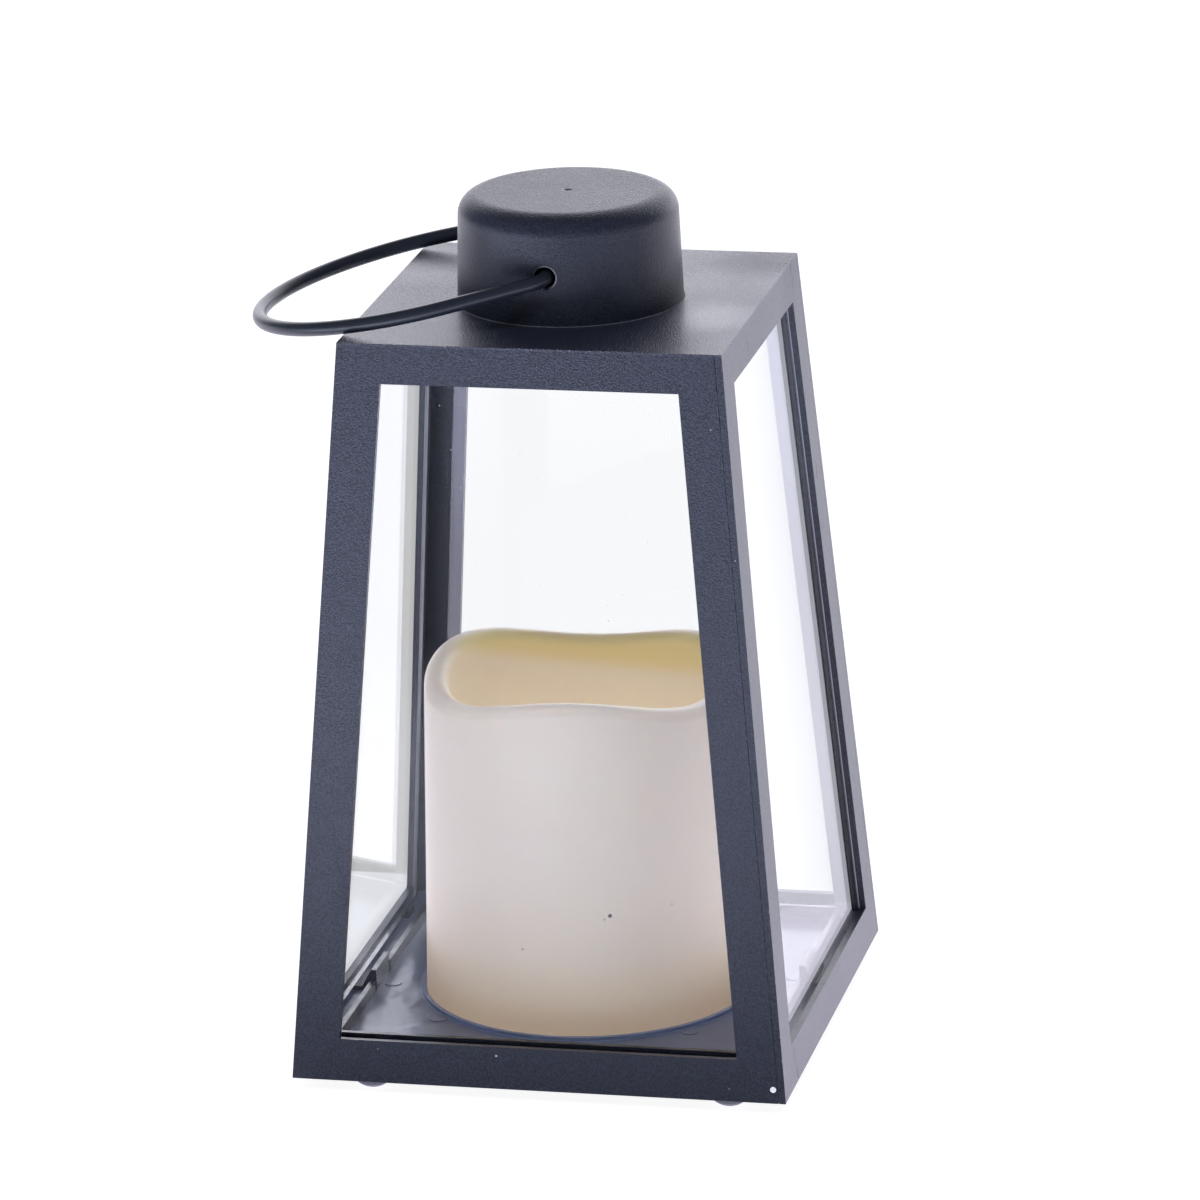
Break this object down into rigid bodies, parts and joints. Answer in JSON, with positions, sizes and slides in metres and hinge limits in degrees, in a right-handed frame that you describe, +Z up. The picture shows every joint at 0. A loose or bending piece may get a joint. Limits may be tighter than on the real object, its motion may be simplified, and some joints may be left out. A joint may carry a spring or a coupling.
{
  "type": "candle lantern",
  "caption": "Tapered square lantern with glazed windows, a round cap, a swinging wire bail and a hollow flameless candle on a battery base.",
  "frame": {"origin": "on the lantern's upright axis, in the plane that its feet stand on", "axes": "+Z up along the axis of the cap and candle; the front panel faces -Y; the bail lies over towards -X at rest"},
  "size_m": [0.1595, 0.14, 0.2427],
  "materials": {
    "frame_plastic": "fine spark-eroded grain, satin",
    "pane_glass": "clear float glass with greenish edges",
    "bail_paint": "black satin coating on steel wire",
    "foot_rubber": "translucent grey soft dome",
    "candle_plastic": "waxy translucent ivory",
    "plated_steel": "nickel plated",
    "cell_sleeve": "plain printed sleeve",
    "board_laminate": "green solder mask",
    "lamp_epoxy": "tinted clear epoxy",
    "resistor_coat": "tan lacquer"
  },
  "bodies": {
    "lantern": {"base_tray": "frame_plastic", "battery_back": "cell_sleeve", "battery_front": "cell_sleeve", "battery_middle": "cell_sleeve", "bumper_feet": "foot_rubber", "candle_screws": "plated_steel", "candle_shell": "candle_plastic", "cap": "frame_plastic", "cap_screws": "plated_steel", "contact_link_left": "plated_steel", "contact_link_right": "plated_steel", "contact_negative": "plated_steel", "contact_positive": "plated_steel", "glass_pane_back": "pane_glass", "glass_pane_front": "pane_glass", "glass_pane_left": "pane_glass", "glass_pane_right": "pane_glass", "led_board": "board_laminate", "led_lamp": "lamp_epoxy", "resistor": "resistor_coat", "side_panel_back": "frame_plastic", "side_panel_front": "frame_plastic", "side_panel_left": "frame_plastic", "side_panel_right": "frame_plastic", "switch_body": "plated_steel", "top_plate": "frame_plastic"},
    "bail": {"bail_handle": "bail_paint"},
    "battery_door": {"battery_door": "frame_plastic"},
    "switch_slider": {"switch_slider": "frame_plastic"}
  },
  "joints": [
    {"name": "bail_swing", "type": "hinge", "parent": "lantern", "child": "bail", "pos_m": [0, 0, 0.2258], "axis": [0, 1, 0], "range_deg": [0, 204]},
    {"name": "battery_door_swing", "type": "hinge", "parent": "lantern", "child": "battery_door", "pos_m": [-0.0247, 0, 0.0048], "axis": [0, 1, 0], "range_deg": [0, 90]},
    {"name": "switch_slide", "type": "slide", "parent": "lantern", "child": "switch_slider", "axis": [1, 0, 0], "range_m": [0, 0.004]}
  ]
}
